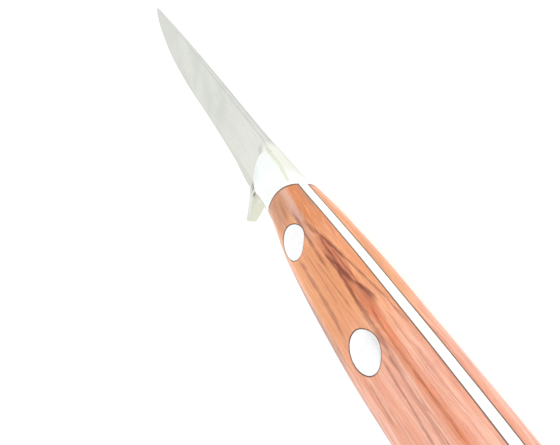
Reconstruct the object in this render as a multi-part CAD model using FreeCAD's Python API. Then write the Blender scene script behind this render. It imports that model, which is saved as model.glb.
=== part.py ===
"""Forged boning knife with a finger guard, two wooden scales and three two-part cutlery rivets.

The knife lies on its right side, as it does on a table.  X runs from the butt to the point,
Y from the spine to the cutting edge, and Z up through the thickness.  While it is built, X is
measured from the joint between bolster and scales, Y from the spine and Z from the middle of
the steel.  At the end everything moves so that the origin is below the middle of the box.
"""
import FreeCAD, Part
import math
import os

# Driving dimensions, in millimetres
BLADE_REACH = 151.5         # from the front of the scales to the point
HANDLE_LENGTH = 104.0       # from the front of the scales to the butt
TANG_THICKNESS = 2.6
HALF_THICKNESS = 8.0        # from the middle of the steel to the flat land on each scale
EDGE_HALF_WIDTH = 0.12      # the edge is blunted, so that the blade closes as a solid

# Handle stations: distance behind the scales' front, height of the spine above the datum
# line, depth of the belly below it, half thickness before the lands are ground flat, and
# the roundness of the section's spine and belly sides, where 2 is an ellipse and more is
# squarer
HANDLE_STATIONS = [
    (0.0, 0.0, 13.4, 7.2, 2.6, 1.6),
    (14.0, 0.4, 16.1, 8.1, 3.2, 1.95),
    (30.0, 0.7, 17.7, 8.25, 3.4, 2.2),
    (45.0, 0.7, 18.35, 8.3, 3.2, 2.3),
    (60.0, 0.5, 17.9, 8.25, 3.2, 2.3),
    (74.0, 0.0, 17.5, 8.25, 3.2, 2.3),
    (88.0, -0.8, 18.0, 8.35, 3.2, 2.3),
    (99.0, -1.8, 20.2, 8.5, 3.2, 2.4),
    (112.0, -3.2, 24.0, 8.6, 3.2, 2.4),
]
SECTION_POINTS = 32
BUTT_ARC = [(-94.0, -6.0), (-HANDLE_LENGTH, 9.0), (-97.0, 24.0)]
BUTT_EDGE_RADIUS = 1.2

# Bolster stations: distance ahead of the scales, depth of the underside, half width, and
# the roundness of its spine and belly sides
BOLSTER_STATIONS = [
    (0.0, 13.4, 7.2, 2.6, 1.6),
    (6.0, 13.8, 6.1, 2.6, 1.7),
    (12.0, 14.6, 4.8, 2.6, 1.8),
    (17.0, 15.3, 3.7, 2.6, 2.0),
    (21.5, 15.6, 2.4, 2.6, 2.2),
]
BOLSTER_ARCH = [(16.8, -0.6), (18.9, 6.0), (12.4, 15.5)]    # its front edge on the blade

# Finger guard stations: depth below the spine, rear and front ends, half width
GUARD_STATIONS = [
    (8.0, 10.5, 17.0, 2.0),
    (13.0, 12.4, 20.0, 2.2),
    (16.2, 13.1, 21.6, 2.3),
    (20.0, 13.9, 19.5, 1.7),
    (24.5, 15.6, 17.3, 1.15),
]
GUARD_REAR_SHARE = 0.7      # the rear face's width as a share of the guard's full width

# Blade stations: distance ahead of the scales, drop of the spine, depth of the edge, half
# thickness at the spine
BLADE_STATIONS = [
    (15.0, 0.0, 16.2, 1.2),
    (21.6, 0.0, 16.4, 1.15),
    (28.0, 0.0, 15.9, 1.13),
    (36.0, 0.0, 15.0, 1.1),
    (60.0, 0.0, 14.3, 1.05),
    (87.0, 0.1, 14.0, 0.92),
    (109.0, 0.3, 12.8, 0.75),
    (125.0, 0.5, 11.0, 0.6),
    (137.0, 0.7, 8.6, 0.47),
    (146.0, 0.9, 5.8, 0.34),
    (BLADE_REACH, 1.1, 2.9, 0.22),
]

# Rivets
RIVET_NAMES = ["front", "middle", "rear"]
FIRST_RIVET = 14.3          # behind the front of the scales
FIRST_RIVET_DEPTH = 6.1     # below the spine
RIVET_SPACING = 28.9
RIVET_DROP = 0.5            # each rivet lies a little deeper than the one before it
HEAD_RADIUS = 4.0
HEAD_SEAT = 5.4             # the heads' undersides, from the middle of the steel
BARREL_RADIUS = 2.4
SHANK_RADIUS = 1.5
SHANK_END = 4.2             # the shank's end, on the far side of the steel
BORE_END = 4.6              # the barrel's blind bore is a little deeper than the shank

BIG = 400.0                 # larger than the knife in every direction


def point(x, depth, side):
    """A point from its place along the knife, its depth below the spine and its side."""
    return FreeCAD.Vector(x, depth, side)


def slab(low, high):
    """Everything between two heights, measured from the middle of the steel."""
    return Part.makeBox(BIG, BIG, high - low, point(-BIG / 2, -BIG / 2, low))


def round_section(x, top, bottom, half, top_power, bottom_power):
    """A rounded section across the knife, flatter on its sides for a larger power."""
    middle = (top + bottom) / 2
    reach = (bottom - top) / 2
    points = []
    for i in range(SECTION_POINTS):
        angle = 2 * math.pi * i / SECTION_POINTS - math.pi / 2
        across = math.cos(angle)
        down = math.sin(angle)
        power = bottom_power if down > 0 else top_power
        side = half * math.copysign(abs(across) ** (2 / power), across)
        depth = middle + reach * math.copysign(abs(down) ** (2 / power), down)
        points.append(point(x, depth, side))
    steps = [i / SECTION_POINTS for i in range(SECTION_POINTS + 1)]
    curve = Part.BSplineCurve()
    curve.interpolate(Points=points, PeriodicFlag=True, Parameters=steps)
    return Part.Wire([curve.toShape()])


def polygon(points):
    return Part.makePolygon(points + [points[0]])


def arched_block(arc, end):
    """A block through the knife with one arched side; it runs from there to x = end."""
    upper, middle, lower = [point(x, depth, -BIG / 2) for x, depth in arc]
    far_lower = point(end, lower.y, -BIG / 2)
    far_upper = point(end, upper.y, -BIG / 2)
    outline = Part.Wire([
        Part.Arc(upper, middle, lower).toShape(),
        Part.LineSegment(lower, far_lower).toShape(),
        Part.LineSegment(far_lower, far_upper).toShape(),
        Part.LineSegment(far_upper, upper).toShape(),
    ])
    return Part.Face(outline).extrude(FreeCAD.Vector(0, 0, BIG))


def butt_edges(shape):
    """The edges round the butt's end face."""
    return [edge for edge in shape.Edges if edge.BoundBox.XMax < BUTT_ARC[0][0]]


def handle_envelope():
    """The outside of the handle: scales, tang and rivet heads together."""
    sections = [
        round_section(-x, -rise, belly, half, spine_power, belly_power)
        for x, rise, belly, half, spine_power, belly_power in HANDLE_STATIONS
    ]
    body = Part.makeLoft(sections, True, False)
    body = body.common(slab(-HALF_THICKNESS, HALF_THICKNESS)).common(arched_block(BUTT_ARC, BIG))
    return body.makeFillet(BUTT_EDGE_RADIUS, butt_edges(body))


def bolster():
    sections = [
        round_section(x, 0.0, underside, half, spine_power, belly_power)
        for x, underside, half, spine_power, belly_power in BOLSTER_STATIONS
    ]
    body = Part.makeLoft(sections, True, False)
    return body.common(arched_block(BOLSTER_ARCH, -BIG))


def finger_guard():
    """The lip below the heel that keeps the finger off the edge."""
    sections = []
    for depth, rear, front, half in GUARD_STATIONS:
        middle = (rear + front) / 2
        sections.append(polygon([
            point(rear, depth, half * GUARD_REAR_SHARE),
            point(middle, depth, half),
            point(front, depth, EDGE_HALF_WIDTH * 2),
            point(front, depth, -EDGE_HALF_WIDTH * 2),
            point(middle, depth, -half),
            point(rear, depth, -half * GUARD_REAR_SHARE),
        ]))
    return Part.makeLoft(sections, True, False)


def blade():
    """A flat-ground wedge that tapers from the spine to the edge and towards the point."""
    sections = [
        polygon([
            point(x, spine, half),
            point(x, edge, EDGE_HALF_WIDTH),
            point(x, edge, -EDGE_HALF_WIDTH),
            point(x, spine, -half),
        ])
        for x, spine, edge, half in BLADE_STATIONS
    ]
    return Part.makeLoft(sections, True, False)


def rivet_places():
    return [
        (-FIRST_RIVET - RIVET_SPACING * i, FIRST_RIVET_DEPTH + RIVET_DROP * i)
        for i in range(len(RIVET_NAMES))
    ]


def cylinder(place, radius, low, high):
    """A round bar through the handle between two heights."""
    return Part.makeCylinder(radius, high - low, point(place[0], place[1], low))


def blade_forging(envelope):
    """Blade, guard, bolster and full tang in one piece of steel."""
    half = TANG_THICKNESS / 2
    body = envelope.common(slab(-half, half))
    for piece in (bolster(), finger_guard(), blade()):
        body = body.fuse(piece)
    for place in rivet_places():
        body = body.cut(cylinder(place, BARREL_RADIUS, -half, half))
    return body


def scale(envelope, direction):
    """One wooden side, drilled and counterbored for the rivets."""
    inner = direction * TANG_THICKNESS / 2
    outer = direction * HALF_THICKNESS
    seat = direction * HEAD_SEAT
    body = envelope.common(slab(min(inner, outer), max(inner, outer)))
    for place in rivet_places():
        body = body.cut(cylinder(place, BARREL_RADIUS, -BIG / 2, BIG / 2))
        body = body.cut(cylinder(place, HEAD_RADIUS, min(seat, outer), max(seat, outer)))
    return body


def rivet_female(envelope, place):
    """The half with the barrel; its head lies flush in the right scale."""
    head = cylinder(place, HEAD_RADIUS, -HALF_THICKNESS, -HEAD_SEAT).common(envelope)
    barrel = cylinder(place, BARREL_RADIUS, -HEAD_SEAT, HEAD_SEAT)
    bore = cylinder(place, SHANK_RADIUS, -BORE_END, HEAD_SEAT)
    return head.fuse(barrel).cut(bore).removeSplitter()


def rivet_male(envelope, place):
    """The half with the shank, pressed into the barrel; its head lies in the left scale."""
    head = cylinder(place, HEAD_RADIUS, HEAD_SEAT, HALF_THICKNESS).common(envelope)
    shank = cylinder(place, SHANK_RADIUS, -SHANK_END, HEAD_SEAT)
    return head.fuse(shank).removeSplitter()


def all_parts():
    envelope = handle_envelope()
    parts = {
        "blade_forging": blade_forging(envelope),
        "left_scale": scale(envelope, 1),
        "right_scale": scale(envelope, -1),
    }
    for name, place in zip(RIVET_NAMES, rivet_places()):
        parts[name + "_rivet_female"] = rivet_female(envelope, place)
        parts[name + "_rivet_male"] = rivet_male(envelope, place)
    return parts


def move_to_origin(parts):
    """Put the origin at the middle of the box, on the surface that the knife lies on."""
    box = Part.makeCompound(list(parts.values())).optimalBoundingBox(False)
    shift = FreeCAD.Vector(-box.Center.x, -box.Center.y, -box.ZMin)
    for shape in parts.values():
        shape.translate(shift)
    return shift


os.makedirs("parts", exist_ok=True)
knife = all_parts()
offset = move_to_origin(knife)
print("offset from the building datum", [round(value, 4) for value in offset])
for node, shape in knife.items():
    print(node, "valid", shape.isValid(), "solids", len(shape.Solids), "volume", round(shape.Volume, 1))
    shape.exportStep("parts/" + node + ".step")
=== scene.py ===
"""Forged boning knife lying on its right side: every visible piece, its materials, light and camera.

The knife is described in millimetres from a datum: x runs forward from the joint between
bolster and scales, depth runs from the spine towards the edge, and side from the middle of the
steel towards the left face.  place() turns that into the frame's metres.
"""

import math

import bpy
import numpy as np
from mathutils import Matrix, Vector


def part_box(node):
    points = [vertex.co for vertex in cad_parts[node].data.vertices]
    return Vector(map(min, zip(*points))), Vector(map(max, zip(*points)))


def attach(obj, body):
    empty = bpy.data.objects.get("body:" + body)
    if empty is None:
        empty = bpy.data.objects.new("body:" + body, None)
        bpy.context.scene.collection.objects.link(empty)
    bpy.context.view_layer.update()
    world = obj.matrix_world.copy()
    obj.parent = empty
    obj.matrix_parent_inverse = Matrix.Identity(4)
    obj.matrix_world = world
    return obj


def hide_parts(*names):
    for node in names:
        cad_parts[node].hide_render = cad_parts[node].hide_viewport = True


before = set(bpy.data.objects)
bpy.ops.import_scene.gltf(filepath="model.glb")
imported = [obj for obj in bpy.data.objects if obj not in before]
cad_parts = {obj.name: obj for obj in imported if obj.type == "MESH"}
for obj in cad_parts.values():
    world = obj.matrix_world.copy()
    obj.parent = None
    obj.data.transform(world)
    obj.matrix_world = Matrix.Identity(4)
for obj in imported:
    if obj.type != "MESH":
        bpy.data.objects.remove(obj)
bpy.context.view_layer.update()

# Datum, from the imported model
MM = 0.001
_, steel_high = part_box("blade_forging")
left_low, left_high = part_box("left_scale")
right_low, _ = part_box("right_scale")
GUARD_DEPTH = 24.5
FRONT = left_high.x
SPINE = steel_high.y - GUARD_DEPTH * MM
MIDDLE = (left_high.z + right_low.z) / 2
TIP = (steel_high.x - FRONT) / MM
HANDLE_LENGTH = (FRONT - left_low.x) / MM
TANG_HALF = (left_low.z - MIDDLE) / MM
LAND = (left_high.z - MIDDLE) / MM
LAND_BLEND = 0.25           # how softly a land runs into the rounds beside it

# Handle stations, forward of the datum: rise of the spine, depth of the belly, half thickness,
# and the section's roundness on its spine and belly sides (2 is an ellipse, more is squarer)
HANDLE_STATIONS = [
    (-112.0, -3.2, 24.0, 8.6, 3.2, 2.4),
    (-99.0, -1.8, 20.2, 8.5, 3.2, 2.4),
    (-88.0, -0.8, 18.0, 8.35, 3.2, 2.3),
    (-74.0, 0.0, 17.5, 8.25, 3.2, 2.3),
    (-60.0, 0.5, 17.9, 8.25, 3.2, 2.3),
    (-45.0, 0.7, 18.35, 8.3, 3.2, 2.3),
    (-30.0, 0.7, 17.7, 8.25, 3.4, 2.2),
    (-14.0, 0.4, 16.1, 8.1, 3.2, 1.95),
    (0.0, 0.0, 13.4, 7.2, 2.6, 1.6),
    (6.0, 0.0, 13.8, 6.0, 2.4, 1.7),
    (12.0, 0.0, 14.5, 4.75, 2.8, 1.8),
    (17.0, 0.0, 15.2, 3.75, 3.4, 2.0),
    (24.0, 0.0, 15.9, 2.0, 3.6, 2.2),
]
BUTT_UPPER, BUTT_BACK, BUTT_LOWER = (-94.0, -6.0), (-HANDLE_LENGTH + 0.03, 9.0), (-97.0, 24.0)
BUTT_RADIUS = 1.6
BUTT_RADIUS_SHARE = 0.92    # the part of that radius that the last ring uses

# Blade stations: drop of the spine, half thickness at the spine
SPINE_STATIONS = [
    (0.0, 0.0, 1.7),
    (16.0, 0.0, 1.8),
    (21.0, 0.0, 1.45),
    (26.0, 0.0, 1.22),
    (60.0, 0.0, 1.05),
    (87.0, 0.1, 0.92),
    (109.0, 0.3, 0.75),
    (125.0, 0.5, 0.6),
    (137.0, 0.75, 0.47),
    (146.0, 0.95, 0.36),
    (TIP, 1.35, 0.20),
]
# Underside of bolster, guard and blade
UNDERSIDE = [
    (0.0, 13.4),
    (5.0, 13.7),
    (9.0, 14.15),
    (12.0, 14.55),
    (13.5, 14.9),
    (14.2, 16.2),
    (14.5, 19.0),
    (14.65, 22.4),
    (14.8, 23.3),
    (15.7, 23.9),
    (16.3, 24.4),
    (16.8, GUARD_DEPTH),
    (17.3, 24.0),
    (18.5, 21.4),
    (20.0, 18.5),
    (21.1, 16.8),
    (22.2, 16.3),
    (25.0, 16.2),
    (30.0, 15.6),
    (36.0, 15.0),
    (48.0, 14.6),
    (66.0, 14.2),
    (87.0, 14.1),
    (103.0, 13.3),
    (115.0, 12.4),
    (125.0, 10.9),
    (135.0, 8.9),
    (142.0, 7.1),
    (147.0, 5.4),
    (150.0, 4.0),
    (TIP, 2.4),
]
BEVEL_HEIGHT = 0.55         # the sharpened strip along the edge
BEVEL_HALF = 0.17
EDGE_HALF = 0.02
BLUNT_HALF = 0.153          # the edge isn't sharpened beside the guard
BLUNT_END, SHARP_START = 28, 46
FLANK_CROWN = 0.2           # how far the flanks swell out of a straight wedge
SPINE_CORNER = 0.14         # the eased corners of the spine
SPINE_CORNER_SHARE = 0.35   # and the most of the spine's half thickness that they take
THIN_SPINE = 0.05           # a half thickness with no room for a flat along the spine

# Bolster: its cove meets the blade along an arch that falls back towards spine and heel
NOSE = 19.0
NOSE_DEPTH = 4.8
NOSE_FALL_SPINE = 0.075
NOSE_FALL_HEEL = 0.063
COVE_SLOPE = 1.8
COVE_FILLET = 0.5
COVE_CREST = 0.3
BOLSTER_END = 25.0          # beyond this there is only blade
BOLSTER_RIM = 0.15          # the eased rim where the bolster meets the scales
CORE_START, CORE_END = 9.0, 16.0        # the blade grows inside the bolster
HEEL_START, HEEL_END = 17.0, 21.0       # and, below it, in front of the guard

# Finger guard: depth, rear, front, half width, share of that width at its front edge
GUARD_STATIONS = [
    (9.0, 13.0, 19.0, 1.6, 0.15),
    (13.0, 13.8, 20.6, 2.0, 0.15),
    (15.2, 14.3, 22.0, 2.45, 0.12),
    (17.4, 14.5, 20.9, 2.25, 0.15),
    (20.0, 14.5, 19.3, 1.85, 0.30),
    (22.5, 14.5, 18.1, 1.3, 0.60),
    (GUARD_DEPTH, 15.4, 17.1, 1.05, 0.85),
]
GUARD_FILLET = 0.4
GUARD_FROM, GUARD_TO, GUARD_TOP = 11.5, 22.4, 8.0       # the stretch that it can touch
GUARD_TAPER = 0.75          # the power of its taper from rear to front
GUARD_EASE = 0.15           # how much its rear corners are eased, and over what share of it
GUARD_EASE_SHARE = 0.12
GUARD_FRONT_FALL, GUARD_REAR_FALL = 6, 14               # how steeply its faces drop away

# Rivets
RIVET_NAMES = ["front", "middle", "rear"]
HEAD_RADIUS = 4.0
HEAD_GAP = 0.05             # between a head and its counterbore
HEAD_SEAT = 5.4             # the heads' undersides, from the middle of the steel
BARREL_RADIUS = 2.4
SHANK_RADIUS = 1.5
SHANK_END = 4.2
BORE_END = 4.6
BORE_PLAY = 0.02            # between shank and bore
SHANK_CHAMFER = 0.3
BARREL_CHAMFER = (0.2, 0.1)             # across and along the barrel's open end

# Mesh density
FINE = 900                  # samples along a section before it is resampled
TOP_POINTS, SIDE_POINTS, FOOT_POINTS = 12, 70, 32       # spine, flank and foot of the forging
OUTER_POINTS = 110          # along the outside of a scale
ROUND = 96                  # around a rivet or a hole

EASE = 0.10                 # the wood's edges are eased where they meet the steel
WOOD_GAP = 0.005            # between wood and tang
SECTION_HALF = 7.0          # about a section's half thickness, which turns an inset into a share


def place(x, depth, side):
    """Points in metres in the frame, from millimetres in the knife's own terms."""
    x, depth, side = np.broadcast_arrays(x, depth, side)
    return np.stack([FRONT + x * MM, SPINE + depth * MM, MIDDLE + side * MM], -1)


def through(stations, column):
    """A smooth curve through a column of stations, with no overshoot between them."""
    xs = np.array([row[0] for row in stations], float)
    ys = np.array([row[column] for row in stations], float)
    step = np.diff(xs)
    slope = np.diff(ys) / step
    tangent = np.empty_like(ys)
    tangent[0], tangent[-1] = slope[0], slope[-1]
    same = slope[:-1] * slope[1:] > 0
    weight_a = 2 * step[1:] + step[:-1]
    weight_b = step[1:] + 2 * step[:-1]
    with np.errstate(divide="ignore", invalid="ignore"):
        mean = (weight_a + weight_b) / (weight_a / slope[:-1] + weight_b / slope[1:])
    tangent[1:-1] = np.where(same, mean, 0.0)

    def curve(x):
        x = np.clip(x, xs[0], xs[-1])
        i = np.clip(np.searchsorted(xs, x, side="right") - 1, 0, len(step) - 1)
        t = (x - xs[i]) / step[i]
        a = (1 + 2 * t) * (1 - t) ** 2 * ys[i] + t * (1 - t) ** 2 * step[i] * tangent[i]
        b = t * t * (3 - 2 * t) * ys[i + 1] + t * t * (t - 1) * step[i] * tangent[i + 1]
        return a + b

    return curve


handle_rise = through(HANDLE_STATIONS, 1)
handle_belly = through(HANDLE_STATIONS, 2)
handle_half = through(HANDLE_STATIONS, 3)
spine_power = through(HANDLE_STATIONS, 4)
belly_power = through(HANDLE_STATIONS, 5)
spine_drop = through(SPINE_STATIONS, 1)
spine_half = through(SPINE_STATIONS, 2)
underside = through(UNDERSIDE, 1)
guard_rear = through(GUARD_STATIONS, 1)
guard_front = through(GUARD_STATIONS, 2)
guard_half = through(GUARD_STATIONS, 3)
guard_edge = through(GUARD_STATIONS, 4)


def smooth_min(a, b, reach):
    gap = np.maximum(reach - np.abs(a - b), 0) / reach
    return np.minimum(a, b) - gap * gap * reach / 4


def smooth_max(a, b, reach):
    return -smooth_min(-a, -b, reach)


def smooth_step(low, high, value):
    t = np.clip((value - low) / (high - low), 0, 1)
    return t * t * (3 - 2 * t)


def rounded(x, depth, top, bottom):
    """1 in the middle of a section and 0 at its top and bottom, as a squarish oval."""
    middle = (top + bottom) / 2
    reach = (bottom - top) / 2
    part = np.clip(np.abs(depth - middle) / reach, 0, 1)
    power = np.where(depth > middle, belly_power(x), spine_power(x))
    return (1 - part ** power) ** (1 / power)


def handle_side(x, depth):
    """The handle's half thickness at a place on its side, ground flat along the lands."""
    full = handle_half(x) * rounded(x, depth, -handle_rise(x), handle_belly(x))
    return smooth_min(full, LAND + 0 * full, LAND_BLEND)


def butt_line(depth):
    """Where the butt ends at a depth: an arc through three points."""
    (ax, ay), (bx, by), (cx, cy) = BUTT_UPPER, BUTT_BACK, BUTT_LOWER
    d = 2 * (ax * (by - cy) + bx * (cy - ay) + cx * (ay - by))
    a2, b2, c2 = ax * ax + ay * ay, bx * bx + by * by, cx * cx + cy * cy
    ux = (a2 * (by - cy) + b2 * (cy - ay) + c2 * (ay - by)) / d
    uy = (a2 * (cx - bx) + b2 * (ax - cx) + c2 * (bx - ax)) / d
    radius = math.hypot(ax - ux, ay - uy)
    return ux - np.sqrt(np.maximum(radius ** 2 - (depth - uy) ** 2, 0))


def bend_to_butt(depth, share, middle):
    """Where a section's points lie once the section is bent to the butt's arc: x and depth."""
    top, foot = -handle_rise(middle), handle_belly(middle)
    part = (depth - top) / (foot - top)
    for _ in range(4):
        x = share * butt_line(depth)
        depth = -handle_rise(x) + part * (handle_belly(x) + handle_rise(x))
    return x, depth


def fine_depths(top, foot):
    """Close-set depths from top to foot, closest together at both ends."""
    t = np.linspace(0, 1, FINE)
    return top + (foot - top) * t ** 3 / (t ** 3 + (1 - t) ** 3)


def resample(points, count):
    """Evenly spaced points along a polyline."""
    gaps = np.hypot(*np.diff(points, axis=0).T)
    along = np.concatenate([[0], np.cumsum(gaps)])
    want = np.linspace(0, along[-1], count)
    return np.stack([np.interp(want, along, points[:, k]) for k in (0, 1)], -1)


def new_object(name, vertices, faces, sharp_degrees):
    mesh = bpy.data.meshes.new(name)
    mesh.from_pydata([tuple(v) for v in vertices], [], faces)
    mesh.validate()
    mesh.polygons.foreach_set("use_smooth", [True] * len(mesh.polygons))
    mesh.update()
    mesh.set_sharp_from_angle(angle=math.radians(sharp_degrees))
    piece = bpy.data.objects.new(name, mesh)
    bpy.context.scene.collection.objects.link(piece)
    return piece


def ring_faces(rings, size):
    """Quads between closed rings of the same size."""
    faces = []
    for r in range(rings - 1):
        for i in range(size):
            j = (i + 1) % size
            faces.append((r * size + i, r * size + j, (r + 1) * size + j, (r + 1) * size + i))
    return faces


def cap_faces(start, pairs, flip):
    """Quads that close a ring, between points that face each other across it."""
    faces = []
    for (a, b), (c, d) in zip(pairs[:-1], pairs[1:]):
        face = [start + k for k in (a, b, d, c)]
        face = [k for n, k in enumerate(face) if k not in face[:n]]
        if len(face) > 2:
            faces.append(tuple(reversed(face)) if flip else tuple(face))
    return faces


# ---------------------------------------------------------------- forging

def blade_side(x, depth):
    """Half thickness of the blade: a flat wedge with a narrow sharpened strip.

    Strip and crown fade out near the point, where the blade is only a few millimetres deep.
    """
    top, foot = spine_drop(x), underside(x)
    shoulder = foot - BEVEL_HEIGHT * smooth_step(0, 3, foot - top)
    part = np.clip((depth - top) / np.maximum(shoulder - top, 0.01), 0, 1)
    wedge = spine_half(x) * (1 - part) + np.minimum(BEVEL_HALF, spine_half(x)) * part
    wedge = wedge + FLANK_CROWN * part * (1 - part) * smooth_step(1, 8, foot - top)
    strip = np.clip((foot - depth) / BEVEL_HEIGHT, 0, 1)
    edge = EDGE_HALF + (BLUNT_HALF - EDGE_HALF) * (1 - smooth_step(BLUNT_END, SHARP_START, x))
    bevel = edge + strip * (BEVEL_HALF - edge)
    return np.where(depth < shoulder, wedge, np.minimum(wedge, bevel))


def guard_side(x, depth):
    """Half thickness of the guard, widest at its rear face."""
    along = (x - guard_rear(depth)) / (guard_front(depth) - guard_rear(depth))
    edge = guard_edge(depth)
    shape = edge + (1 - edge) * np.clip(1 - along, 0, 1) ** GUARD_TAPER
    shape = shape * (1 - GUARD_EASE + GUARD_EASE * smooth_step(0.0, GUARD_EASE_SHARE, along))
    past_front, past_rear = np.maximum(along - 1, 0), np.maximum(-along, 0)
    return guard_half(depth) * shape - past_front * GUARD_FRONT_FALL - past_rear * GUARD_REAR_FALL


def bolster_side(x, depth, foot, body):
    """Half thickness of the bolster: its flank, cut off by the cove in front."""
    flank = handle_half(x) * rounded(x, np.minimum(depth, foot), 0.0, foot)
    fall = np.where(depth < NOSE_DEPTH, NOSE_FALL_SPINE, NOSE_FALL_HEEL)
    behind = np.maximum(NOSE - fall * (depth - NOSE_DEPTH) ** 2 - x, 0)
    cove = body + COVE_SLOPE * behind ** 2 / (behind + COVE_FILLET)
    return np.maximum(smooth_min(flank, cove, COVE_CREST), 0)


def forging_side(x, depth):
    """Half thickness of the steel forward of the scales."""
    body = blade_side(x, depth)
    if x >= BOLSTER_END:
        return body
    foot = min(float(underside(x)), float(handle_belly(x)))
    core = np.where(depth < foot, body * smooth_step(CORE_START, CORE_END, x), 0.0)
    side = np.maximum(bolster_side(x, depth, foot, body), core)
    side = np.where(depth < foot, side, body * smooth_step(HEEL_START, HEEL_END, x))
    if GUARD_FROM < x < GUARD_TO:
        side = np.where(depth > GUARD_TOP, smooth_max(side, guard_side(x, depth), GUARD_FILLET), side)
    return side


def half_section(x):
    """The left half of the steel's outline across the knife, from spine to foot."""
    top, foot = float(spine_drop(x)), float(underside(x))
    depth = fine_depths(top, foot)
    side = np.maximum(forging_side(x, depth), 0)
    corner = min(SPINE_CORNER, SPINE_CORNER_SHARE * side[0])
    inside = depth > top + corner
    line = [(0.0, top)]
    if side[0] > THIN_SPINE:
        line.append((max(side[0] - corner, 0.0), top))
    line += list(zip(side[inside], depth[inside]))
    line.append((0.0, foot))
    return np.array(line)


# Where a section's flank ends and its foot begins: x, half thickness
FLANK_END = [(0, 4.9), (12, 3.4), (17, 2.3), (21.5, 0.45), (23, 0.16)]


def split_section(line, x):
    """The same half outline with a set number of points above, on and below its side."""
    move = np.diff(line, axis=0)
    steep = np.nonzero(move[:, 1] > np.abs(move[:, 0]))[0]
    first = max(int(steep[0]), 1)
    goal = np.interp(x, *zip(*FLANK_END))
    goal = min(goal, line[:, 0].max() * 0.75)
    wide = np.nonzero(line[:, 0] >= goal)[0]
    last = max(int(wide[-1]), first + 2)
    last = min(last, len(line) - 2)
    upper = resample(line[: first + 1], TOP_POINTS)
    flank = resample(line[first: last + 1], SIDE_POINTS)
    lower = resample(line[last:], FOOT_POINTS)
    return np.concatenate([upper, flank[1:], lower[1:]])


def tang_section(x):
    """The tang's half outline: a flat strip as deep as the handle."""
    top, foot = -float(handle_rise(x)), float(handle_belly(x))
    upper = np.linspace((0, top), (TANG_HALF, top), TOP_POINTS)
    flank = np.linspace((TANG_HALF, top), (TANG_HALF, foot), SIDE_POINTS)
    lower = np.linspace((TANG_HALF, foot), (0, foot), FOOT_POINTS)
    return np.concatenate([upper, flank[1:], lower[1:]])


def close_ring(half):
    """Side and depth of a closed ring from a half outline: down the left side and up the right."""
    other = half[1:-1][::-1]
    return np.concatenate([half[:, 0], -other[:, 0]]), np.concatenate([half[:, 1], other[:, 1]])


def tang_rings():
    """Rings from the butt to the front of the scales, closest together at the arched butt."""
    rings = []
    for t in np.concatenate([np.linspace(1, 0.94, 24), np.linspace(0.93, 0, 90)]):
        middle = -t * HANDLE_LENGTH
        side, depth = close_ring(tang_section(middle))
        x, depth = bend_to_butt(depth, t, middle)
        rings.append(place(x, depth, side))
    return rings


def forging_rings():
    """All rings from the butt to the point, closest together at the guard and at the point."""
    rings = tang_rings()
    tip_run = 19.0
    xs = np.concatenate([
        [0.0, BOLSTER_RIM],
        np.linspace(0.5, 11.0, 30),
        np.linspace(11.1, 18.0, 130),
        np.linspace(18.08, 24.0, 70),
        np.linspace(24.8, 132.0, 90),
        TIP - tip_run * np.linspace(1, 0, 60)[1:] ** 1.6,
    ])
    for x in xs:
        half = split_section(half_section(min(x, TIP - 0.02)), x)
        if x == 0.0:
            centre = np.array([0.0, half[:, 1].mean()])
            half = centre + (half - centre) * (1 - BOLSTER_RIM / SECTION_HALF)
            half[0, 0] = half[-1, 0] = 0.0
        side, depth = close_ring(half)
        rings.append(place(x, depth, side))
    return rings


def build_forging():
    rings = forging_rings()
    size = len(rings[0])
    half = size // 2 + 1
    pairs = [(i, (size - i) % size) for i in range(half)]
    faces = ring_faces(len(rings), size)
    faces += cap_faces(0, pairs, False)
    faces += cap_faces((len(rings) - 1) * size, pairs, True)
    return new_object("forged_steel", np.concatenate(rings), faces, sharp_degrees=38)


# ---------------------------------------------------------------- scales

def scale_line(x, shrink):
    """The outside of a scale across the knife, from the tang's spine edge to its belly edge."""
    top, foot = -float(handle_rise(x)), float(handle_belly(x))
    depth = fine_depths(top, foot)
    side = handle_side(x, depth)
    keep = side > TANG_HALF + EASE
    line = np.stack([side[keep], depth[keep]], -1)
    line[:, 0] = TANG_HALF + (line[:, 0] - TANG_HALF) * (1 - shrink / SECTION_HALF)
    line[:, 1] = np.clip(line[:, 1], top + shrink, foot - shrink)
    first, last = line[0], line[-1]
    line = resample(line, OUTER_POINTS - 2)
    upper = (TANG_HALF + WOOD_GAP, first[1] + EASE)
    lower = (TANG_HALF + WOOD_GAP, last[1] - EASE)
    return np.concatenate([[upper], line, [lower]])


def scale_rings(direction):
    """A scale's rings from the bolster to the butt, closest together at the butt's round."""
    rings = []
    steps = np.concatenate([[0.0], np.linspace(0.0012, 0.97, 170), np.linspace(0.972, 1.0, 26)])
    for t in steps:
        guess = -t * HANDLE_LENGTH
        line = scale_line(guess, 0.0)
        x = t * butt_line(line[:, 1])
        from_butt = np.maximum(x - butt_line(line[:, 1]), 0).mean()
        inset = max(BUTT_RADIUS - from_butt, 0)
        shrink = BUTT_RADIUS - math.sqrt(max(BUTT_RADIUS ** 2 - inset ** 2, 0))
        if t == 0.0:
            shrink = EASE
        middle = float(x.mean())
        line = scale_line(middle, min(shrink, BUTT_RADIUS * BUTT_RADIUS_SHARE))
        x, line[:, 1] = bend_to_butt(line[:, 1], t, middle)
        inner = line[::-1].copy()
        inner[:, 0] = TANG_HALF + WOOD_GAP
        ring = np.concatenate([line, inner[1:-1]])
        along = np.concatenate([x, x[::-1][1:-1]])
        rings.append(place(along, ring[:, 1], direction * ring[:, 0]))
    return rings


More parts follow.
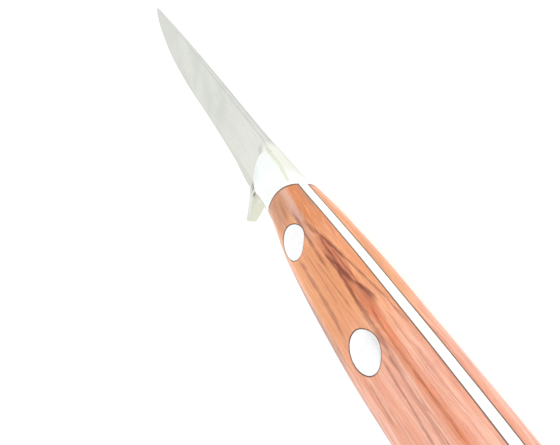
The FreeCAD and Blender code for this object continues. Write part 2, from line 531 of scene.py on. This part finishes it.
def build_scale(name, direction):
    rings = scale_rings(direction)
    size = len(rings[0])
    pairs = [(0, 0)] + [(i, size - i) for i in range(1, OUTER_POINTS - 1)] + [(OUTER_POINTS - 1,) * 2]
    faces = ring_faces(len(rings), size)
    faces += cap_faces(0, pairs, False)
    faces += cap_faces((len(rings) - 1) * size, pairs, True)
    if direction < 0:
        faces = [tuple(reversed(face)) for face in faces]
    return new_object(name, np.concatenate(rings), faces, sharp_degrees=40)


# ---------------------------------------------------------------- rivets

def rivet_centre(name):
    low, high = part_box(name + "_rivet_male")
    middle = (low + high) / 2
    return (middle.x - FRONT) / MM, (middle.y - SPINE) / MM


def lathe(name, centre, profile, direction, follow):
    """A turned piece on a rivet's axis.  The first rings follow the handle's surface."""
    angles = np.linspace(0, 2 * math.pi, ROUND, endpoint=False)
    vertices, faces = [], []
    for n, (radius, side) in enumerate(profile):
        x = centre[0] + radius * np.cos(angles)
        depth = centre[1] + radius * np.sin(angles)
        if n < follow:
            height = handle_side(x, depth) + side
        else:
            height = side + 0 * x
        if radius == 0:
            vertices.append(place(x[:1], depth[:1], direction * height[:1]))
        else:
            vertices.append(place(x, depth, direction * height))
    starts = np.cumsum([0] + [len(v) for v in vertices])
    for n in range(len(profile) - 1):
        a, b = starts[n], starts[n + 1]
        size_a, size_b = len(vertices[n]), len(vertices[n + 1])
        for i in range(ROUND):
            j = (i + 1) % ROUND
            corners = [a + i % size_a, b + i % size_b, b + j % size_b, a + j % size_a]
            corners = [int(k) for m, k in enumerate(corners) if k not in corners[:m]]
            faces.append(tuple(corners) if direction > 0 else tuple(reversed(corners)))
    return new_object(name, np.concatenate(vertices), faces, sharp_degrees=35)


# The face of a head: radius, height above the handle's surface
HEAD_FACE = [
    (0.0, 0.0),
    (0.8, 0.0),
    (1.6, -0.002),
    (2.4, -0.006),
    (3.2, -0.012),
    (3.7, -0.02),
    (3.88, -0.035),
    (3.96, -0.07),
    (HEAD_RADIUS, -0.14),
]


def build_male(name, centre):
    profile = HEAD_FACE + [
        (HEAD_RADIUS, HEAD_SEAT),
        (SHANK_RADIUS, HEAD_SEAT),
        (SHANK_RADIUS, SHANK_CHAMFER - SHANK_END),
        (SHANK_RADIUS - SHANK_CHAMFER, -SHANK_END),
        (0.0, -SHANK_END),
    ]
    return lathe(name, centre, profile, 1, len(HEAD_FACE))


def build_female(name, centre):
    profile = HEAD_FACE + [
        (HEAD_RADIUS, HEAD_SEAT),
        (BARREL_RADIUS, HEAD_SEAT),
        (BARREL_RADIUS, -HEAD_SEAT + BARREL_CHAMFER[1]),
        (BARREL_RADIUS - BARREL_CHAMFER[0], -HEAD_SEAT),
        (SHANK_RADIUS + BORE_PLAY, -HEAD_SEAT),
        (SHANK_RADIUS + BORE_PLAY, BORE_END),
        (0.0, BORE_END),
    ]
    return lathe(name, centre, profile, -1, len(HEAD_FACE))


DRILLED_SHARP_DEGREES = 38


def drill(piece, centres, steps):
    """Cut stepped round holes: steps are (radius, low side, high side)."""
    angles = np.linspace(0, 2 * math.pi, ROUND, endpoint=False)
    for radius, low, high in steps:
        for centre in centres:
            x = centre[0] + radius * np.cos(angles)
            depth = centre[1] + radius * np.sin(angles)
            vertices = np.concatenate([place(x, depth, low), place(x, depth, high)])
            sides = [(i, (i + 1) % ROUND, ROUND + (i + 1) % ROUND, ROUND + i) for i in range(ROUND)]
            ends = [tuple(range(ROUND - 1, -1, -1)), tuple(range(ROUND, 2 * ROUND))]
            cutter = new_object("cutter", vertices, sides + ends, sharp_degrees=30)
            cut = piece.modifiers.new("drill", "BOOLEAN")
            cut.operation, cut.solver, cut.object = "DIFFERENCE", "EXACT", cutter
            bpy.context.view_layer.update()
            graph = bpy.context.evaluated_depsgraph_get()
            drilled = bpy.data.meshes.new_from_object(piece.evaluated_get(graph))
            piece.modifiers.clear()
            piece.data = drilled
            bpy.data.objects.remove(cutter)
    piece.data.polygons.foreach_set("use_smooth", [True] * len(piece.data.polygons))
    piece.data.set_sharp_from_angle(angle=math.radians(DRILLED_SHARP_DEGREES))


# ---------------------------------------------------------------- pieces

centres = [rivet_centre(name) for name in RIVET_NAMES]
forging = build_forging()
drill(forging, centres, [(BARREL_RADIUS, -TANG_HALF - 1, TANG_HALF + 1)])
left_wood = build_scale("left_wood", 1)
right_wood = build_scale("right_wood", -1)
for wood_piece, sign in ((left_wood, 1), (right_wood, -1)):
    seat, past = sign * HEAD_SEAT, sign * (LAND + 2)
    drill(wood_piece, centres, [
        (BARREL_RADIUS, -LAND - 4, LAND + 4),
        (HEAD_RADIUS + HEAD_GAP, min(seat, past), max(seat, past)),
    ])
rivets = {}
for name, centre in zip(RIVET_NAMES, centres):
    rivets[name + "_rivet_male"] = build_male(name + "_shank_half", centre)
    rivets[name + "_rivet_female"] = build_female(name + "_barrel_half", centre)


# ---------------------------------------------------------------- materials

def node_material(name):
    material = bpy.data.materials.new(name)
    material.use_nodes = True
    material.node_tree.nodes.clear()
    return material, material.node_tree


class Graph:
    """Short ways to add and join shader nodes."""

    def __init__(self, tree):
        self.tree = tree

    def node(self, kind, **values):
        made = self.tree.nodes.new("ShaderNode" + kind)
        for key, value in values.items():
            setattr(made, key, value)
        return made

    def join(self, source, target):
        self.tree.links.new(source, target)

    def feed(self, socket, value):
        if isinstance(value, bpy.types.NodeSocket):
            self.join(value, socket)
        else:
            socket.default_value = value

    def math(self, operation, a, b=0.0):
        made = self.node("Math", operation=operation)
        self.feed(made.inputs[0], a)
        self.feed(made.inputs[1], b)
        return made.outputs[0]

    def remap(self, value, low, high, to_low=0.0, to_high=1.0, smooth=True):
        made = self.node("MapRange", interpolation_type="SMOOTHSTEP" if smooth else "LINEAR")
        for index, item in enumerate((value, low, high, to_low, to_high)):
            self.feed(made.inputs[index], item)
        return made.outputs[0]

    def noise(self, vector, scale, detail, rough=0.5):
        made = self.node("TexNoise")
        self.feed(made.inputs["Vector"], vector)
        made.inputs["Scale"].default_value = scale
        made.inputs["Detail"].default_value = detail
        made.inputs["Roughness"].default_value = rough
        return made.outputs["Fac"]

    def mix(self, factor, a, b):
        made = self.node("Mix", data_type="RGBA")
        self.feed(made.inputs[0], factor)
        self.feed(made.inputs[6], a)
        self.feed(made.inputs[7], b)
        return made.outputs[2]

    def combine(self, x, y, z):
        made = self.node("CombineXYZ")
        for socket, value in zip(made.inputs, (x, y, z)):
            self.feed(socket, value)
        return made.outputs[0]

    def stretch(self, x, x_scale, across, across_scale, third):
        """A place for noise that is drawn out along the knife."""
        x = self.math("MULTIPLY", x, x_scale)
        return self.combine(x, self.math("MULTIPLY", across, across_scale), third)

    def spread_about_zero(self, value, size):
        """A noise of 0 to 1 as a shift to both sides."""
        return self.math("MULTIPLY", self.math("SUBTRACT", value, 0.5), size)

    def distance(self, x, depth, centre_x, centre_depth):
        """How far a place on the side is from a centre."""
        along, down = self.math("SUBTRACT", x, centre_x), self.math("SUBTRACT", depth, centre_depth)
        squares = self.math("ADD", self.math("MULTIPLY", along, along), self.math("MULTIPLY", down, down))
        return self.math("SQRT", squares)

    def knife_terms(self):
        """x, depth and side in millimetres, as the shapes use them."""
        split = self.node("SeparateXYZ")
        self.join(self.node("TexCoord").outputs["Object"], split.inputs[0])
        terms = []
        for socket, start in zip(split.outputs, (FRONT, SPINE, MIDDLE)):
            terms.append(self.math("MULTIPLY", self.math("SUBTRACT", socket, start), 1 / MM))
        return terms

    def bump(self, height, strength, distance):
        made = self.node("Bump")
        made.inputs["Strength"].default_value = strength
        made.inputs["Distance"].default_value = distance
        self.join(height, made.inputs["Height"])
        return made.outputs[0]

    def surface(self, **inputs):
        shader = self.node("BsdfPrincipled")
        for key, value in inputs.items():
            self.feed(shader.inputs[key.replace("_", " ")], value)
        output = self.node("OutputMaterial")
        self.join(shader.outputs[0], output.inputs["Surface"])


def colour(red, green, blue):
    return (red, green, blue, 1.0)


def steel_material():
    """Satin-ground blade, brighter polished bolster and tang edge, duller guard, with painted shade,
    highlights and reflections in their colours.
    """
    material, tree = node_material("forged_steel_finish")
    g = Graph(tree)
    x, depth, side = g.knife_terms()
    lengthwise = g.noise(g.stretch(x, 0.05, depth, 3.0, side), 2.0, 4.0, 0.6)
    grind = g.noise(g.stretch(x, 0.12, depth, 9.0, side), 2.0, 3.0, 0.55)
    clouds = g.noise(g.combine(x, depth, side), 0.10, 3.0)
    wear = g.noise(g.combine(x, g.math("MULTIPLY", depth, 2.0), side), 0.9, 5.0, 0.7)

    # Regions: the blade ahead of the bolster, and the guard below it
    on_blade = g.remap(x, 17.0, 21.5)
    on_guard = g.math("MULTIPLY", g.remap(depth, 12.8, 13.8), g.remap(x, 13.2, 14.3))

    # Blade: cloudy satin grey, with painted shade towards the point and a painted highlight towards the heel
    blade_tone_and_painted_light = g.mix(g.remap(clouds, 0.35, 0.65), colour(0.70, 0.715, 0.655), colour(0.62, 0.64, 0.59))
    blade_tone_and_painted_light = g.mix(g.remap(x, 95.0, 135.0), blade_tone_and_painted_light, colour(0.62, 0.63, 0.585))
    blade_tone_and_painted_light = g.mix(g.remap(x, 60.0, 25.0), blade_tone_and_painted_light, colour(0.75, 0.755, 0.70))
    blade_tone_and_painted_light = g.mix(g.remap(lengthwise, 0.35, 0.70, 0.0, 0.35), blade_tone_and_painted_light, colour(0.50, 0.52, 0.48))

    # The other regions, a painted highlight on the unsharpened edge at the heel, and painted shade on the
    # spine's narrow face
    # The bolster: bright polish with painted shade on its facets and flank
    bolster_colour_and_painted_shade = bolster_tone_and_painted_shade(g, x, depth, side, clouds)
    # The guard: a warm painted reflection of the wooden handle on its rear face
    guard_tone_and_painted_reflection = g.mix(g.remap(x, 14.7, 15.3), colour(0.66, 0.66, 0.55), colour(0.65, 0.66, 0.60))
    # Painted highlight along the edge strip at the heel
    painted_heel_edge_highlight = g.math("MULTIPLY", g.remap(depth, 14.6, 15.6), g.remap(x, 40.0, 26.0))
    blade_tone_and_painted_light = g.mix(painted_heel_edge_highlight, blade_tone_and_painted_light, colour(0.96, 0.97, 0.92))
    base = g.mix(on_blade, bolster_colour_and_painted_shade, blade_tone_and_painted_light)
    base = g.mix(on_guard, base, guard_tone_and_painted_reflection)
    # Painted shade on the spine's narrow face, darker towards the far side
    painted_spine_shade = g.math("MULTIPLY", g.remap(depth, 0.9, 0.15), on_blade)
    painted_spine_shade = g.math("MULTIPLY", painted_spine_shade, g.remap(side, 0.2, -0.8, 0.3, 0.6))
    base = g.mix(painted_spine_shade, base, colour(0.38, 0.40, 0.39))

    # Painted shade in the recess where bolster, guard and heel meet
    painted_corner_shade = g.math("MULTIPLY", darkened_spot(g, x, depth, wear, PAINTED_CORNER_SHADE), 0.85)
    base = g.mix(painted_corner_shade, base, colour(0.10, 0.11, 0.09))
    # A darker grey spot on the blade in front of the bolster's ridge
    ridge_dark_spot = g.math("MULTIPLY", darkened_spot(g, x, depth, wear, RIDGE_DARK_SPOT), g.math("MULTIPLY", on_blade, 0.5))
    base = g.mix(ridge_dark_spot, base, colour(0.42, 0.43, 0.37))

    # Fine grinding lines on blade and guard, a smoother polish elsewhere
    satin = g.math("MAXIMUM", on_blade, on_guard)
    rough_satin = g.remap(grind, 0.3, 0.7, 0.26, 0.36)
    rough_body = g.remap(wear, 0.35, 0.7, 0.10, 0.20)
    polished = g.math("SUBTRACT", 1.0, satin)
    rough = g.math("ADD", g.math("MULTIPLY", rough_satin, satin), g.math("MULTIPLY", rough_body, polished))
    lines = g.math("MULTIPLY", grind, g.math("ADD", 0.2, g.math("MULTIPLY", satin, 0.8)))
    normal = g.bump(lines, strength=0.25, distance=0.02 * MM)
    g.surface(Base_Color=base, Metallic=1.0, Roughness=rough, Normal=normal)
    return material


def bolster_tone_and_painted_shade(g, x, depth, side, clouds):
    """Bright polished flanks, with painted shade on the flat along the spine, in a line where flank and flat
    meet, along the spine's right-hand edge, bluish on the lower front and grey low on the flank.
    """
    away = g.math("ABSOLUTE", side)
    ridge = g.remap(x, 0.0, 9.0, 3.5, 2.1, smooth=False)
    gap = g.math("SUBTRACT", away, ridge)
    near_top = g.remap(depth, 1.3, 0.9)
    top = g.math("MULTIPLY", near_top, g.remap(x, 0.0, 9.0))
    # Painted shade on the flat along the spine, which faces another way than the flank
    flat = g.math("MULTIPLY", g.remap(gap, 0.2, -0.2), top)
    # A painted shade line along the ridge between flank and flat
    line = g.math("MULTIPLY", g.remap(g.math("ABSOLUTE", gap), 0.8, 0.1, 0.0, 0.75), near_top)
    line = g.math("MULTIPLY", line, g.remap(x, -0.5, 2.5))
    # Painted shade along the spine's right-hand edge
    rim = g.math("MULTIPLY", g.remap(side, -0.6, -1.6), top)
    # Bluish painted shade on the lower front of the flank
    front = g.math("MULTIPLY", g.remap(depth, 3.5, 7.0), g.remap(x, 9.0, 16.5))
    shade = g.mix(g.remap(clouds, 0.35, 0.65), colour(0.93, 0.955, 0.94), colour(0.88, 0.91, 0.89))
    shade = g.mix(front, shade, colour(0.76, 0.84, 0.81))
    # Grey painted shade low on the flank
    under = g.math("MULTIPLY", g.remap(depth, 8.0, 13.0, 0.0, 0.8), g.remap(x, 2.0, 9.0))
    shade = g.mix(under, shade, colour(0.76, 0.77, 0.75))
    shade = g.mix(flat, shade, colour(0.78, 0.79, 0.71))
    shade = g.mix(rim, shade, colour(0.71, 0.735, 0.685))
    return g.mix(line, shade, colour(0.62, 0.66, 0.50))


# Painted shade in the corner of bolster, guard and heel, and a darker spot at the front of the
# bolster's ridge: x, depth, reach
PAINTED_CORNER_SHADE = (15.8, 14.4, 1.1)
RIDGE_DARK_SPOT = (21.2, 3.2, 2.4)


def darkened_spot(g, x, depth, wear, spot):
    """A soft-edged darkening round one spot."""
    spot_x, spot_depth, reach = spot
    gap = g.distance(x, depth, spot_x, spot_depth)
    gap = g.math("ADD", gap, g.math("SUBTRACT", wear, 0.5))
    return g.remap(gap, reach, 0.2)


def rivet_material():
    """Pale metal, ground flush with the wood, with fine cross scratches."""
    material, tree = node_material("rivet_finish")
    g = Graph(tree)
    x, depth, side = g.knife_terms()
    scratch = g.noise(g.stretch(x, 0.2, depth, 6.0, side), 4.0, 4.0, 0.6)
    clouds = g.noise(g.combine(x, depth, side), 0.6, 3.0)
    base = g.mix(clouds, colour(0.95, 0.95, 0.945), colour(0.86, 0.87, 0.87))
    rough = g.remap(scratch, 0.3, 0.7, 0.18, 0.34)
    normal = g.bump(scratch, strength=0.2, distance=0.02 * MM)
    g.surface(Base_Color=base, Metallic=1.0, Roughness=rough, Normal=normal)
    return material


# Dark streaks that the left scale shows, one of them painted shade along the belly edge: width,
# colour strength, and (x, place across the grain) along each, measured from the rivets' line
STREAKS_AND_EDGE_SHADE = [
    (0.70, 0.55, [(-12, -6.2), (-15, -7.0), (-20, -8.3), (-26, -9.3), (-29, -9.9)]),
    (0.36, 0.60, [(-17, -7.7), (-26, -9.4), (-33, -10.7), (-40, -11.6), (-46, -11.8)]),
    (0.90, 0.35, [(-20, -7.1), (-26, -7.2), (-31, -7.5), (-36, -8.4), (-40, -7.8)]),
    (0.55, 0.90, [(-24, -6.6), (-28, -7.0), (-31, -7.6), (-34, -8.5), (-36, -9.1), (-39, -9.3)]),
    (0.45, 0.80, [(-22, -6.3), (-30, -6.2), (-35, -5.8), (-39, -5.4)]),
    (0.70, 0.52, [(-35, -5.9), (-41, -5.3), (-48, -4.6), (-53, -4.1)]),
    (0.55, 0.32, [(-50, -4.3), (-57, -3.7), (-64, -3.2)]),
    (0.30, 0.60, [(-16, -7.9), (-20, -7.6), (-25, -7.3), (-30, -7.0)]),
    (0.24, 0.60, [(-19, -8.5), (-24, -8.3), (-29, -8.4), (-33, -8.7)]),
    (0.32, 0.50, [(-37, -7.8), (-43, -6.9), (-52, -6.7), (-64, -6.8)]),
    (0.34, 0.55, [(-46, -2.6), (-52, -2.2), (-58, -1.6), (-63, -0.9)]),
    (0.62, 0.50, [(-17, 0.9), (-22, 0.9), (-27, 1.1), (-33, 1.5), (-36, 1.9), (-40, 2.5)]),
    (0.34, 0.40, [(-46, 3.1), (-50, 3.4), (-57, 4.0)]),
    # Painted shade along the belly edge, where the side turns away
    (0.60, 0.45, [(-13, 4.6), (-18, 5.2), (-24, 5.8), (-30, 6.2), (-36, 6.7), (-46, 7.0), (-60, 7.4)]),
    (0.50, 0.55, [(-8, -4.4), (-12, -5.2), (-18, -4.9), (-22, -4.6), (-28, -4.3)]),
    (0.30, 0.35, [(-22, -3.2), (-30, -3.4), (-38, -3.6)]),
    (0.26, 0.35, [(-18, -1.9), (-27, -1.6), (-36, -1.1)]),
    (0.50, 0.24, [(0, -3.6), (-4, -3.2), (-8, -2.6), (-11, -1.6)]),
    (0.40, 0.20, [(0, -1.4), (-4, -1.0), (-9, -0.4)]),
]
STREAK_REACH = 66.0         # how far back, and how far across, the streaks' curves go
STREAK_SPREAD = 14.0

# Toned zones of the left scale, two of them painted light: front and back ends, its limits
# towards the spine and the belly, strength, colour
TONE_AND_PAINTED_LIGHT_ZONES = [
    (6, -14, -12.0, -6.8, 0.90, (0.70, 0.21, 0.045)),
    (6, -8, -14.0, -10.2, 0.60, (0.36, 0.19, 0.09)),
    # A painted highlight: a pale pinkish streak at the front
    (6, -12, -7.0, -4.6, 0.85, (0.74, 0.45, 0.35)),
    (6, -9, -4.8, 1.8, 0.60, (0.46, 0.22, 0.13)),
    (-7, -19, -7.2, -4.4, 0.45, (0.55, 0.31, 0.25)),
    (-18, -39, -9.0, -6.0, 0.70, (0.62, 0.15, 0.06)),
    (-37, -46, -8.3, -6.5, 0.70, (0.84, 0.20, 0.07)),
    (-42, -66, -7.3, -6.1, 0.65, (0.82, 0.23, 0.08)),
    (-18, -36, -6.0, 5.0, 0.45, (0.82, 0.30, 0.11)),
    # Painted shade along the belly edge, where the side turns away
    (-12, -40, 5.2, 9.0, 0.75, (0.36, 0.12, 0.035)),
]


def wood_material():
    """Oiled orange-brown hardwood: long dark streaks, fine fibres and short open pores, with a painted
    highlight at the front, painted shade along the belly edge and painted shade in the joint gaps.
    """
    material, tree = node_material("streaked_hardwood")
    g = Graph(tree)
    x, depth, side = g.knife_terms()

    # Place across the grain, which wraps round the scale's section, and noise along the grain.
    # Each scale has its own part of the noise.
    away = g.math("ABSOLUTE", side)
    lean = g.remap(x, -16.0, 0.0, -13.0, -11.8, smooth=False)
    across = g.math("ADD", g.math("ADD", depth, g.math("MULTIPLY", away, 0.8)), lean)
    on_left = g.math("GREATER_THAN", side, 0.0)
    scale_shift = g.math("MULTIPLY", on_left, 37.0)
    waver = g.noise(g.stretch(x, 0.06, across, 0.15, scale_shift), 1.0, 3.0)
    small = g.noise(g.stretch(x, 0.35, across, 0.8, scale_shift), 1.0, 4.0)
    grain = g.math("ADD", across, g.spread_about_zero(waver, 3.0))
    grain = g.math("ADD", grain, g.spread_about_zero(small, 0.4))
    broad = g.noise(g.stretch(x, 0.02, grain, 0.35, scale_shift), 1.0, 3.0)
    lines = g.noise(g.stretch(x, 0.05, grain, 1.7, scale_shift), 1.0, 4.0, 0.6)
    fine = g.noise(g.stretch(x, 0.14, grain, 3.6, side), 1.0, 3.0, 0.6)
    fibres = g.noise(g.stretch(x, 0.22, grain, 7.0, side), 1.0, 4.0, 0.65)
    pores = g.noise(g.stretch(x, 0.8, grain, 9.0, side), 1.0, 2.0)

    # Colour: broad bands, toned zones, fine lines, listed streaks, pores and joint lines
    pink = g.remap(x, -32.0, -52.0)
    warm = g.mix(pink, colour(0.84, 0.31, 0.12), colour(0.89, 0.39, 0.26))
    pale = g.mix(pink, colour(0.95, 0.43, 0.19), colour(0.97, 0.53, 0.40))
    base = g.mix(g.remap(broad, 0.40, 0.60), warm, pale)
    base = g.mix(g.remap(lines, 0.50, 0.64, 0.0, 0.48), base, colour(0.55, 0.17, 0.08))
    ragged = g.math("ADD", across, g.spread_about_zero(small, 1.6))
    for front, back, upper, lower, strength, tone in TONE_AND_PAINTED_LIGHT_ZONES:
        amount = g.math("MULTIPLY", zone(g, x, ragged, front, back, upper, lower), on_left)
        base = g.mix(g.math("MULTIPLY", amount, strength), base, colour(*tone))
    base = g.mix(g.remap(fine, 0.52, 0.66, 0.0, 0.36), base, colour(0.50, 0.17, 0.09))
    base = g.mix(g.remap(fine, 0.46, 0.34, 0.0, 0.35), base, colour(1.0, 0.58, 0.34))
    base = g.mix(g.remap(fibres, 0.45, 0.70, 0.0, 0.40), base, colour(0.46, 0.16, 0.08))
    for width, strength, path in STREAKS_AND_EDGE_SHADE:
        amount = streak(g, x, across, small, width, strength, path)
        amount = g.math("MULTIPLY", amount, g.remap(fine, 0.35, 0.55, 0.7, 1.0))
        base = g.mix(g.math("MULTIPLY", amount, on_left), base, colour(0.20, 0.03, 0.015))
    base = g.mix(g.remap(pores, 0.66, 0.78, 0.0, 0.55), base, colour(0.18, 0.06, 0.04))
    # Dark joint lines, with painted shade in the gaps at the joints
    joint = g.math("MULTIPLY", joint_line_and_gap_shade(g, x, depth, away), 0.85)
    base = g.mix(joint, base, colour(0.09, 0.035, 0.015))
    rough = g.remap(fibres, 0.3, 0.7, 0.34, 0.46)
    height = g.math("SUBTRACT", g.math("MULTIPLY", fibres, 0.4), g.remap(pores, 0.64, 0.78))
    normal = g.bump(height, strength=0.35, distance=0.04 * MM)
    g.surface(Base_Color=base, Roughness=rough, Specular_IOR_Level=0.3, Coat_Weight=0.35,
              Coat_Roughness=0.16, Coat_IOR=1.5, Normal=normal)
    return material


def zone(g, x, across, front, back, upper, lower):
    """1 inside a soft-edged stretch of the wood and 0 outside."""
    soft = 0.6
    along = g.math("MULTIPLY", g.remap(x, front + 2.0, front - 3.0), g.remap(x, back - 4.0, back + 2.0))
    below = g.remap(across, upper - soft, upper + soft)
    above = g.remap(across, lower + soft, lower - soft)
    return g.math("MULTIPLY", along, g.math("MULTIPLY", below, above))


def streak(g, x, across, ragged, width, strength, path):
    """One dark streak along a listed path, with a ragged edge and faded ends."""
    place_along = g.remap(x, 0.0, -STREAK_REACH, 0.0, 1.0, smooth=False)
    curve = g.node("FloatCurve")
    line = curve.mapping.curves[0]
    points = [(-at_x / STREAK_REACH, at / (2 * STREAK_SPREAD) + 0.5) for at_x, at in path]
    line.points[0].location, line.points[1].location = points[0], points[-1]
    for middle_point in points[1:-1]:
        line.points.new(*middle_point)
    curve.mapping.extend = "HORIZONTAL"
    curve.mapping.update()
    g.join(place_along, curve.inputs["Value"])
    middle = g.remap(curve.outputs[0], 0.0, 1.0, -STREAK_SPREAD, STREAK_SPREAD, smooth=False)
    gap = g.math("ABSOLUTE", g.math("SUBTRACT", across, middle))
    gap = g.math("ADD", gap, g.spread_about_zero(ragged, width * 2.5))
    band = g.remap(gap, width * 1.3, width * 0.2, 0.0, strength)
    start, end = path[0][0], path[-1][0]
    fade_in = g.remap(x, start, start - 3.0)
    fade_out = g.remap(x, end, end + 4.0)
    return g.math("MULTIPLY", band, g.math("MULTIPLY", fade_in, fade_out))


def joint_line_and_gap_shade(g, x, depth, away):
    """A dark line where wood meets the bolster, the tang and the rivets: the dark joint, with painted shade
    in the gap.
    """
    front = g.remap(x, -0.85, -0.25)
    tang = g.remap(away, TANG_HALF + 0.50, TANG_HALF + 0.18)
    line = g.math("MAXIMUM", front, tang)
    for centre in centres:
        radius = g.distance(x, depth, *centre)
        line = g.math("MAXIMUM", line, g.remap(radius, HEAD_RADIUS + 0.28, HEAD_RADIUS + 0.06))
    return line


def floor_material():
    """A white light table: it glows a little, which softens the shadow under the knife."""
    material, tree = node_material("pale_floor")
    g = Graph(tree)
    where = g.node("TexCoord").outputs["Object"]
    cloud = g.noise(where, 3.0, 3.0)
    base = g.mix(cloud, colour(0.38, 0.38, 0.38), colour(0.42, 0.42, 0.42))
    g.surface(Base_Color=base, Roughness=0.9, Specular_IOR_Level=0.1,
              Emission_Color=colour(1.0, 1.0, 1.0), Emission_Strength=0.78)
    return material


steel = steel_material()
wood = wood_material()
rivet_metal = rivet_material()


def finish_piece(piece, material, node):
    piece.data.materials.clear()
    piece.data.materials.append(material)
    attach(piece, "root")
    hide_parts(node)


finish_piece(forging, steel, "blade_forging")
finish_piece(left_wood, wood, "left_scale")
finish_piece(right_wood, wood, "right_scale")
for node, piece in rivets.items():
    finish_piece(piece, rivet_metal, node)


# ---------------------------------------------------------------- floor, light and camera

FLOOR_RADII = [0.2, 0.6, 2.0, 8.0]
FLOOR_DROP = 0.1 * MM
LENS_MM, SENSOR_MM = 28.0, 36.0
EYE = (-73.6, -47.43, 59.25)            # in the knife's own millimetres
CAMERA_BACK = (-0.66614, -0.53758, 0.51698)
CAMERA_UP = (0.61820, -0.78576, -0.02051)


def build_floor():
    """A round floor, a little below the knife so that the two never share a plane."""
    angles = np.linspace(0, 2 * math.pi, 64, endpoint=False)
    vertices = [(0.0, 0.0, -FLOOR_DROP)]
    for radius in FLOOR_RADII:
        vertices += [(radius * math.cos(a), radius * math.sin(a), -FLOOR_DROP) for a in angles]
    count = len(angles)
    faces = [(0, 1 + i, 1 + (i + 1) % count) for i in range(count)]
    for r in range(len(FLOOR_RADII) - 1):
        for i in range(count):
            j = (i + 1) % count
            faces.append((1 + r * count + i, 1 + (r + 1) * count + i,
                          1 + (r + 1) * count + j, 1 + r * count + j))
    floor = new_object("floor", vertices, faces, sharp_degrees=30)
    floor.data.materials.append(floor_material())


def area_light(name, position, target, size, power):
    data = bpy.data.lights.new(name, "AREA")
    data.shape, data.size, data.energy = "DISK", size, power
    light = bpy.data.objects.new(name, data)
    light.location = position
    light.rotation_mode = "QUATERNION"
    light.rotation_quaternion = (Vector(target) - Vector(position)).to_track_quat("-Z", "Y")
    bpy.context.scene.collection.objects.link(light)


def build_world(low_level, high_level):
    """Even white light round the horizon, dimmer overhead."""
    world = bpy.data.worlds.new("studio")
    world.use_nodes = True
    g = Graph(world.node_tree)
    split = g.node("SeparateXYZ")
    g.join(g.node("TexCoord").outputs["Generated"], split.inputs[0])
    level = g.remap(split.outputs[2], 0.80, 0.97, low_level, high_level)
    background = world.node_tree.nodes["Background"]
    background.inputs["Color"].default_value = (1.0, 1.0, 1.0, 1.0)
    g.join(level, background.inputs["Strength"])
    bpy.context.scene.world = world


def build_camera():
    """A wide lens close behind the handle, above the spine, looking along the knife."""
    lens = bpy.data.cameras.new("camera")
    lens.lens, lens.sensor_width = LENS_MM, SENSOR_MM
    lens.clip_start, lens.clip_end = 0.005, 50.0
    camera = bpy.data.objects.new("camera", lens)
    position = Vector(place(*EYE))
    back = Vector(CAMERA_BACK).normalized()
    right = Vector(CAMERA_UP).cross(back).normalized()
    up = back.cross(right)
    turn = Matrix((right, up, back)).transposed().to_4x4()
    camera.matrix_world = Matrix.Translation(position) @ turn
    bpy.context.scene.collection.objects.link(camera)
    bpy.context.scene.camera = camera


build_floor()
build_world(low_level=1.08, high_level=0.8)
area_light("side_soft", position=(0.45, 0.85, 0.2), target=(-0.03, 0, 0.01), size=0.5, power=0.65)
build_camera()
view_settings = bpy.context.scene.view_settings
view_settings.view_transform = "Standard"
